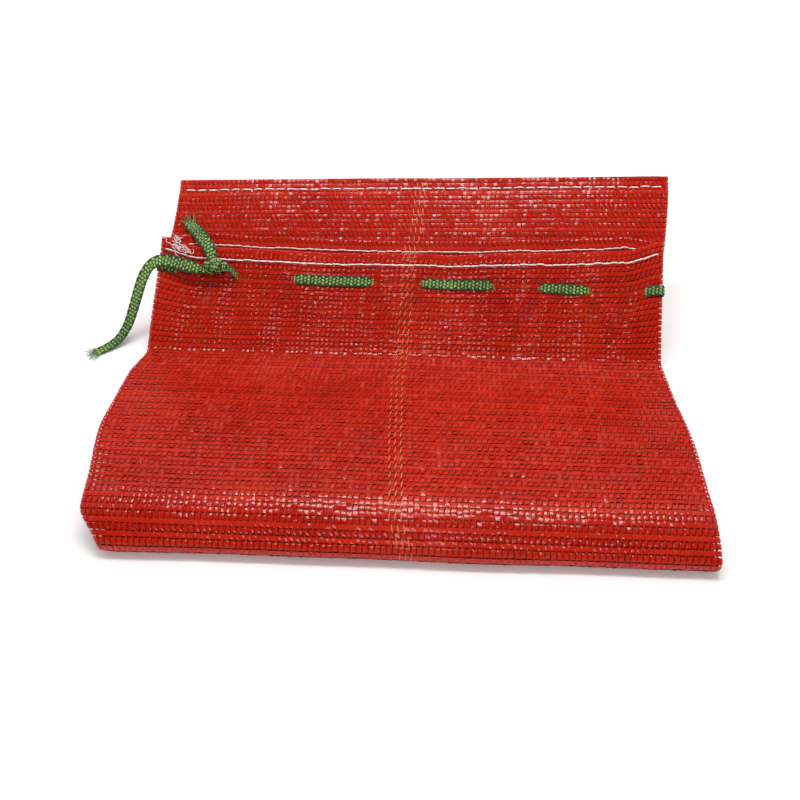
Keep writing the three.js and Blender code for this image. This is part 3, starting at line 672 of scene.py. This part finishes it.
def lay_tapes(rows, panel, out, seed, aside=0):
    """Tapes over one panel: three points across each tape, three steps for each column."""
    steps = COLUMN_STEPS * COLUMNS + 1
    place = (np.arange(steps) + aside) % COLUMN_STEPS
    bulging = (place > 0) * 1
    nearer = SHOULDER * np.array([0, -1, 1])[place]
    across = np.linspace(-1, 1, steps) + nearer * 2 / COLUMNS
    kind = (rows % 2)[:, None]
    rng = np.random.default_rng(seed)

    def for_each_pillow(spread):
        """A drawn value for each pillow, the same at all its steps."""
        drawn = rng.normal(0, spread, (len(rows), COLUMNS + 1))
        return np.repeat(drawn, COLUMN_STEPS, axis=1)[:, :steps]

    wander = rng.normal(0, ROW_WANDER, (len(rows), 1)) + rng.normal(0, STEP_WANDER, (len(rows), steps))
    loose = 1 + for_each_pillow(PILLOW_SPREAD)
    loose = loose + rng.normal(0, STEP_SPREAD, (len(rows), steps))
    half = ROW_PITCH / 2 * np.where(kind == 0, *TAPE_SHARES) * np.where(bulging, 1, PINCH)
    crown = PRESSED[panel] * np.where(kind == 0, *CROWNS) * bulging * loose
    tilt = for_each_pillow(TILT_SPREAD * PRESSED[panel]) * bulging
    crown = crown + rng.normal(0, CREASE_SPREAD * PRESSED[panel], (len(rows), steps)) * bulging
    middle = (rows[:, None] + 0.5) * ROW_PITCH + wander
    s = middle[..., None] + half[..., None] * np.array([-1, 0, 1])
    lift = out + crown[..., None] * CROWN_PROFILE + tilt[..., None] * np.array([-1, 0, 1])
    points = cloth(across[None, :, None], s, panel, lift)
    u = np.broadcast_to((across * BAG_WIDTH / 2)[None, :, None], s.shape)
    v = np.broadcast_to(rows[:, None, None] + 200 * seed + np.array([0.1, 0.5, 0.9]), s.shape)
    faces = grid_faces(steps, 3)
    faces = faces[:, ::-1] if panel < 0 else faces
    return points, repeated(faces, len(rows), steps * 3), np.stack([u, v], -1), 0


def lay_strands(rows, panel, out, strand, aside=0):
    """Twisted strands up one panel: two points across each, a step in each gap and on each tape."""
    halves = np.arange(2 * len(rows) + 1)
    first = rows[0]
    s = (first + halves / 2) * ROW_PITCH
    on_tape = halves % 2 == 1
    here = (first + halves // 2) % 2 == strand
    lift = out + np.where(on_tape, np.where(here, -1, 1) * STRAND_LIFT, 0.0)
    side = np.where(on_tape, 0.0, STRAND_SWAP * np.where(here, 1, -1))
    columns = np.arange(1, COLUMNS)
    middle = (-1 + 2 * (columns - aside / COLUMN_STEPS) / COLUMNS)[:, None, None]
    centre = np.isin(columns, CENTRE_COLUMNS) & (strand == 0)
    wide = STRAND_WIDTHS[strand] * np.where(centre, CENTRE_WIDTH, 1.0)
    width = wide[:, None, None] * np.array([-0.5, 0.5])
    offset = (side[None, :, None] + width) * 2 / BAG_WIDTH
    points = cloth(middle + offset, s[None, :, None], panel, lift[None, :, None])
    v = np.broadcast_to(columns[:, None, None] + 500 + np.array([0.2, 0.8]), points.shape[:-1])
    uv = np.stack([np.broadcast_to(s[None, :, None], v.shape), v], -1)
    faces = grid_faces(len(halves), 2)
    faces = faces[:, ::-1] if panel > 0 else faces
    which = np.repeat(np.where(centre, 3, 1 + strand), len(faces))
    return points, repeated(faces, len(columns), len(halves) * 2), uv, which


CLOTH_LOOKS = [red_tape, red_strand, shaded_strand, orange_strand]
body_rows = np.arange(HEM_ROWS, ROWS - HEM_ROWS)
panels = {}
for panel, side, aside in ((1, "outer", 0), (-1, "inner", 1)):
    tapes = piece("tapes_" + side, [lay_tapes(body_rows, panel, WALL_MIDDLE, 11 + panel, aside)], CLOTH_LOOKS)
    strands = piece("strands_" + side,
                    [lay_strands(body_rows, panel, WALL_MIDDLE, k, aside) for k in (0, 1)], CLOTH_LOOKS)
    for made in (tapes, strands):
        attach(made, "root")
    panels[side] = (tapes, strands)
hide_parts("bag_body")

# %% [markdown]
# ## The hems
# A hem is the same cloth turned over, so it is the same rows laid twice, one layer behind the
# other, with a fold of tape along the edge. At the mouth each wall has its own hem. At the
# bottom the two walls are folded together and sewn flat.

# %% Hems
FOLD_OUT_MM = 0.5
FOLD_IN_MM = 1.6
FOLD_STEPS = 6


def edge_fold(s_edge, inward, panel, outer, inner, seed):
    """The folded tape along an edge, from the outer layer over the edge to the inner one."""
    steps = 2 * COLUMNS + 1
    across = np.linspace(-1, 1, steps)
    rng = np.random.default_rng(seed)
    turn = np.linspace(0, math.pi, FOLD_STEPS)
    middle, half = (outer + inner) / 2, (outer - inner) / 2
    bulge = (1 + 0.25 * (np.arange(steps) % 2) + rng.normal(0, 0.08, steps))[:, None]
    s = s_edge + inward * (FOLD_IN_MM - (FOLD_IN_MM + FOLD_OUT_MM * bulge) * np.sin(turn))
    out = middle + half * np.cos(turn) * np.ones_like(bulge)
    points = cloth(across[:, None], s, panel, out)
    u = np.broadcast_to((across * BAG_WIDTH / 2)[:, None], s.shape)
    v = np.broadcast_to(seed * 31 + np.linspace(0.1, 0.9, FOLD_STEPS), s.shape)
    return points, grid_faces(steps, FOLD_STEPS), np.stack([u, v], -1), 0


HEM_OUT = WALL_MIDDLE + 0.25
HEM_IN = PANEL_HALF - 2 * WALL + 0.45
mouth_rows = np.arange(ROWS - HEM_ROWS, ROWS)
parts = []
for panel in (1, -1):
    for out, seed in ((HEM_OUT, 31), (HEM_IN, 33)):
        parts.append(lay_tapes(mouth_rows, panel, out, seed + panel))
        parts += [lay_strands(mouth_rows, panel, out, k) for k in (0, 1)]
    parts.append(edge_fold(LENGTH, -1, panel, HEM_OUT, HEM_IN, 41 + panel))
mouth_hem = piece("mouth_hem_cloth", parts, CLOTH_LOOKS)

BOTTOM_HALF = 1.25
bottom_rows = np.arange(0, HEM_ROWS)
parts = []
for panel in (1, -1):
    parts.append(lay_tapes(bottom_rows, panel, BOTTOM_HALF, 51 + panel))
    parts += [lay_strands(bottom_rows, panel, BOTTOM_HALF, k) for k in (0, 1)]
parts.append(edge_fold(0.0, 1, 1, BOTTOM_HALF, -BOTTOM_HALF, 61))
bottom_hem = piece("bottom_hem_cloth", parts, CLOTH_LOOKS)
for made, name in ((mouth_hem, "mouth_hem"), (bottom_hem, "bottom_hem")):
    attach(made, "root")
    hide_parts(name)

# %% [markdown]
# ## The drawstring
# It goes out of the knot, in and out along the front wall, round the right edge, back along the
# rear wall and round the left edge to the knot again. It is pulled narrow where it goes through
# the cloth. In the hidden stretches it shows only as green lines through the gaps of the mesh.

# %% Drawstring
EDGE_PASS = 16.0
EDGE_SHARE = 2.6 / BAG_WIDTH
NEAR_EDGE = 2.2 * EDGE_SHARE
THROUGH_WIDTH = 0.55
RUN_REACH_MM = 6.5
TURN_RADIUS = PANEL_HALF - WALL / 2 + SIDE_OFFSET + TAPE_CLEAR
KNOT_REACH = KNOT_LENGTH / 2 / BAG_WIDTH
KNOT_PASS = KNOT_REACH + 4.85 / BAG_WIDTH
KNOT_MIDDLE = WALL / 2 + TAPE_CLEAR + KNOT_BAND_RISE + KNOT_THICK / 2
AT_RIGHT = (1 - EDGE_PASS / BAG_WIDTH, 1.1)
AT_LEFT = (-0.1, EDGE_PASS / BAG_WIDTH)
AT_KNOT = (KNOT_SHARE - KNOT_PASS, KNOT_SHARE + KNOT_PASS)


def run_along(passes, panel, low, high):
    """Stops along one wall, outside it on each pass and inside between them."""
    shares = np.linspace(low, high, max(3, int((high - low) * BAG_WIDTH / 2.5)))
    reach = PASS_LENGTH / 2 / BAG_WIDTH
    side = np.full_like(shares, -1.0)
    for start, end in passes:
        within = np.minimum((shares - start + reach), (end + reach - shares)) / (2 * reach)
        side = np.maximum(side, 2 * smooth(within) - 1)
    middle, up, out = wall_at(shares, panel)
    width = TAPE_WIDTH * (THROUGH_WIDTH + (1 - THROUGH_WIDTH) * smooth(1.6 * np.abs(side)))
    return middle + out * (SIDE_OFFSET * side)[:, None], up, out, width


def round_edge(side):
    """Stops round one side edge of the bag."""
    share = 1 - EDGE_SHARE if side > 0 else EDGE_SHARE
    front, rear = wall_at(share, 1), wall_at(share, -1)
    half = PANEL_HALF - WALL / 2
    base = [front[0] - front[2] * half, rear[0] - rear[2] * half]
    places, outs = [], []
    for degrees in range(90, -91, -30):
        a = math.radians(degrees)
        out = unit(np.array([side * math.cos(a), 0, 0]) + front[2] * math.sin(a))
        t = (90 - degrees) / 180
        places.append(base[0] * (1 - t) + base[1] * t + out * TURN_RADIUS)
        outs.append(out)
    stops = [np.array(places), np.tile(front[1], (len(places), 1)), np.array(outs),
             np.full(len(places), TAPE_WIDTH)]
    return stops if side > 0 else [v[::-1] for v in stops]


def into_knot(sign):
    """Two stops where the tape is bunched and lifted into the knot."""
    rows = []
    for share, lift, bunch in ((KNOT_SHARE + sign * (KNOT_REACH + 1.6 / BAG_WIDTH), 0.75, 0.7),
                               (KNOT_SHARE + sign * KNOT_REACH * 0.6, 1.0, 0.5)):
        middle, up, out = wall_at(share, 1)
        place = middle + out * KNOT_MIDDLE * lift + up * KNOT_UP * lift
        rows.append((place, up, out, TAPE_WIDTH * bunch))
    return [np.array([r[i] for r in rows]) for i in range(4)]


run_reach = KNOT_REACH + RUN_REACH_MM / BAG_WIDTH
along_rear = run_along([AT_LEFT, *REAR_PASSES, AT_RIGHT], -1, NEAR_EDGE, 1 - NEAR_EDGE)
legs = [
    [v[::-1] for v in into_knot(1)],
    run_along([AT_KNOT, *FRONT_PASSES, AT_RIGHT], 1, KNOT_SHARE + run_reach, 1 - NEAR_EDGE),
    round_edge(1),
    [v[::-1] for v in along_rear],
    round_edge(-1),
    run_along([AT_LEFT, AT_KNOT], 1, NEAR_EDGE, KNOT_SHARE - run_reach),
    into_knot(-1),
]
place, up, out, width = (np.concatenate([leg[i] for leg in legs]) for i in range(4))
drawstring = piece("drawstring_braid", braid(place, up, out, width, TAPE_THICK), [green_film])

# %% [markdown]
# ## The knot
# The tape winds three times round itself and one turn is pulled tight across. It is the same
# braid, bunched to half its width, so its strands run on into the free ends.

# %% Knot
middle, up, out = wall_at(KNOT_SHARE, 1)
right = unit(np.cross(up, out))
heart = middle + out * KNOT_MIDDLE + up * KNOT_UP


def ring_of_tape(turns, half_length, tall, deep, slant, width, seed_turn=0.0):
    """The bunched tape wound round the knot's long axis."""
    t = np.linspace(0, 1, int(turns * 18) + 1)
    angle = 2 * math.pi * turns * t + seed_turn
    x = (2 * t - 1) * half_length
    taper = np.sqrt(np.clip(1 - (x / (KNOT_LENGTH / 2 + 1.5)) ** 2, 0.15, 1))
    y, z = tall * taper * np.cos(angle), deep * taper * np.sin(angle)
    x = x + slant * y
    spots = heart + x[:, None] * right + y[:, None] * up + z[:, None] * out
    face = unit((np.cos(angle) / tall)[:, None] * up + (np.sin(angle) / deep)[:, None] * out)
    along = unit(np.gradient(spots, axis=0))
    return braid(spots, unit(np.cross(face, along)), face, width, TAPE_THICK)


parts = ring_of_tape(3.4, 7.6, 4.9, 3.3, 0.12, 5.6)
parts += ring_of_tape(1.15, 1.4, 6.0, 4.2, 0.42, 5.0, 1.2)
knot = piece("knot_braid", parts, [green_film])
for made, name in ((drawstring, "drawstring"), (knot, "drawstring_knot")):
    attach(made, "root")
    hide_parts(name)

# %% [markdown]
# ## The stitches
# A chain of white thread closes each hem. Seen from the front every stitch is a short raised
# bar that dips into the cloth at both ends. At the mouth they nearly touch and read as one wavy
# line. Along the bottom they stand apart, as dashes. Where the mouth's seam starts, at the left,
# the cut ends of its thread lie as a small tangle of curls.

# %% Stitches
THREAD_SIDES = 6
HEM_SEAM = 9.4
MOUTH_PITCH, BOTTOM_PITCH = 6.4, 9.2
MOUTH_LONG, REAR_LONG, BOTTOM_LONG = 1.06, 0.75, 0.8
LOOSE_FROM = -0.96
LOOSE_STEP = 1.1
LOOSE_RADIUS = 0.24


def lay_thread(lines, radius, seed):
    """Round threads along many lines of the same number of points, in metres."""
    count, steps, _ = lines.shape
    along = unit(np.gradient(lines, axis=1))
    side = unit(np.cross(along, np.array([0.13, 0.21, 0.97])))
    lift = np.cross(side, along)
    angle = np.arange(THREAD_SIDES + 1) / THREAD_SIDES * 2 * math.pi
    ring = side[:, :, None] * np.cos(angle)[:, None] + lift[:, :, None] * np.sin(angle)[:, None]
    thin = np.sqrt(np.clip(1 - np.linspace(-0.97, 0.97, steps) ** 4, 0.05, 1))
    points = lines[:, :, None] + ring * (radius * thin)[None, :, None, None]
    reach = np.linalg.norm(lines[:, -1] - lines[:, 0], axis=1)[:, None, None]
    gone = np.linspace(0, 1, steps)[None, :, None] * reach
    u = np.broadcast_to(gone / MM, points.shape[:-1])
    v = np.broadcast_to(seed + np.linspace(0, 1, THREAD_SIDES + 1), points.shape[:-1])
    faces = repeated(grid_faces(steps, THREAD_SIDES + 1), count, steps * (THREAD_SIDES + 1))
    return points, faces, np.stack([u, v], -1), 0


def stitch_row(s, panel, out, pitch, share, radius, seed, low=-0.975, high=0.975, rise=0.55):
    """Stitches from one side of the bag to the other, each with a slightly loose line. share is
    how much of its pitch a stitch covers."""
    rng = np.random.default_rng(seed)
    count = int((high - low) / 2 * BAG_WIDTH / pitch)
    starts = np.linspace(low, high, count + 1)[:-1, None]
    t = np.linspace(0, 1, 9)[None]
    across = starts + (high - low) / count * (t * share + (1 - share) / 2)
    lean = rng.normal(0, 0.22, (count, 1)) + rng.normal(0, 0.16, (count, 1)) * (t - 0.5)
    bow = rng.normal(0, 0.18, (count, 1)) * np.sin(math.pi * t)
    height = out + rise * np.sin(math.pi * t) ** 0.6 - 0.25
    lines = cloth(across, s + lean + bow, panel, height)
    return lay_thread(lines, radius * MM, seed)


def loose_ends(count, steps, seed):
    """Short curled ends of thread that spill over the mouth where its seam starts."""
    rng = np.random.default_rng(seed)
    corner = cloth(LOOSE_FROM, LENGTH - 5, 1, HEM_OUT + 1.2)
    right = unit(cloth(LOOSE_FROM + 0.05, LENGTH - 5, 1, HEM_OUT + 1.2) - corner)
    up = unit(cloth(LOOSE_FROM, LENGTH - 1, 1, HEM_OUT + 1.2) - corner)
    out = np.cross(right, up)
    turns = rng.uniform(0.2, 1.5, (count, 1)) + np.cumsum(rng.normal(0, 0.55, (count, steps)), axis=1)
    ahead = np.stack([np.cos(turns), np.sin(turns) * 0.6], -1) * LOOSE_STEP
    flat = np.cumsum(ahead, axis=1) + rng.uniform((0, -4), (14, 3), (count, 2))[:, None]
    lift = 0.9 + 0.8 * np.sin(np.linspace(0, 3 * math.pi, steps) + rng.uniform(0, 6, (count, 1)))
    lines = corner + (flat[..., :1] * right + flat[..., 1:] * up + lift[..., None] * out) * MM
    return lay_thread(lines, LOOSE_RADIUS * MM, seed)


parts = [
    loose_ends(16, 18, 76),
    stitch_row(LENGTH - HEM_SEAM, 1, HEM_OUT + 0.35, MOUTH_PITCH, MOUTH_LONG, 0.62, 71),
    stitch_row(LENGTH - HEM_SEAM, -1, HEM_IN - 0.75, MOUTH_PITCH, MOUTH_LONG, 0.55, 72, -0.93, 0.93, -0.5),
    stitch_row(LENGTH - HEM_SEAM, -1, HEM_OUT + 0.35, MOUTH_PITCH, REAR_LONG, 0.5, 73),
    stitch_row(HEM_SEAM, -1, BOTTOM_HALF + 0.35, BOTTOM_PITCH, BOTTOM_LONG, 0.58, 74),
    stitch_row(HEM_SEAM, 1, BOTTOM_HALF + 0.35, BOTTOM_PITCH, BOTTOM_LONG, 0.58, 75),
]
stitches = piece("stitches", parts, [white_thread])
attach(stitches, "root")

# %% [markdown]
# ## The panels
# Each panel is one limp sheet, as large as the bag laid flat, which the fold holds in its shape.
# The loop below only looks up each panel's tapes and strands, and lists the hems and the
# stitches with the outer one.

for side, rest in (("outer", [mouth_hem, bottom_hem, stitches]), ("inner", [])):
    tapes, strands = panels[side]

# %% [markdown]
# ## Studio
# A plain pale floor and soft light. The softbox overhead is what the bends of the bag mirror, so
# it draws the bright bands of glints on the roll and the crease, and its width and depth set how
# far these bands reach. A strip in front gives the raised mouth its glints, and a wide box at the
# rear brightens the hump. The two fills at the sides are large and weak: they soften the shadows
# without glints of their own. The wash lights the floor behind the bag, and the floor glows
# faintly, so that it stays white as in a product photo. The surroundings are pale near the floor
# and dim above, so that a view from the side has pale walls and the gloss does not wash the red
# out.

# %% Floor and light
FLOOR_HALF = 14.0
FLOOR_GLOW = 0.12
floor_mesh = bpy.data.meshes.new("floor")
floor_mesh.from_pydata([(x * FLOOR_HALF, y * FLOOR_HALF, 0) for x, y in ((-1, -1), (1, -1), (1, 1), (-1, 1))],
                       [], [(0, 1, 2, 3)])
floor = bpy.data.objects.new("floor", floor_mesh)
bpy.context.scene.collection.objects.link(floor)
paper, _, _ = principled("matt white paper", {"Base Color": linear("#FAFAFA"), "Roughness": 0.9,
                                             "Emission Color": linear("#FFFFFF"),
                                             "Emission Strength": FLOOR_GLOW})
floor_mesh.materials.append(paper)


def lamp(name, place, aim, size, power, spread=180):
    """A rectangular lamp at a place, turned to aim. size is in metres, spread in degrees."""
    data = bpy.data.lights.new(name, "AREA")
    data.spread = math.radians(spread)
    data.shape = "RECTANGLE"
    data.size, data.size_y = size
    data.energy = power
    made = bpy.data.objects.new(name, data)
    made.location = place
    away = np.array(aim) - np.array(place)
    made.rotation_euler = (math.atan2(math.hypot(away[0], away[1]), -away[2]), 0,
                           math.atan2(away[1], away[0]) - math.pi / 2)
    bpy.context.scene.collection.objects.link(made)


lamp("overhead_softbox", (0.0, 0.2, 1.3), (0, -0.02, 0), (0.9, 0.3), 11.5)
lamp("front_strip", (0.0, -0.85, 1.1), (0, 0.08, 0.06), (0.5, 0.11), 2.0)
lamp("floor_wash", (0.0, 1.0, 0.9), (0, 1.0001, 0), (2.8, 0.3), 5, 70)
lamp("rear_softbox", (0.0, 0.95, 1.35), (0, 0, 0.03), (2.4, 0.6), 4)
lamp("left_fill", (-1.3, 0.1, 1.0), (0, 0, 0.03), (1.3, 1.3), 4)
lamp("right_fill", (1.3, 0.1, 1.0), (0, 0, 0.03), (1.3, 1.3), 4)
world = bpy.data.worlds.new("studio")
world.use_nodes = True
background = world.node_tree.nodes["Background"]
direction = node(world.node_tree, "ShaderNodeTexCoord").outputs["Generated"]
height = node(world.node_tree, "ShaderNodeSeparateXYZ", links={"Vector": direction}).outputs["Z"]
walls = ramp(world.node_tree, height, [(0.0, "#C8C8C8"), (0.3, "#C8C8C8"), (0.46, "#4E4E4E")])
world.node_tree.links.new(walls, background.inputs["Color"])
bpy.context.scene.world = world
bpy.context.scene.view_settings.view_transform = "Standard"
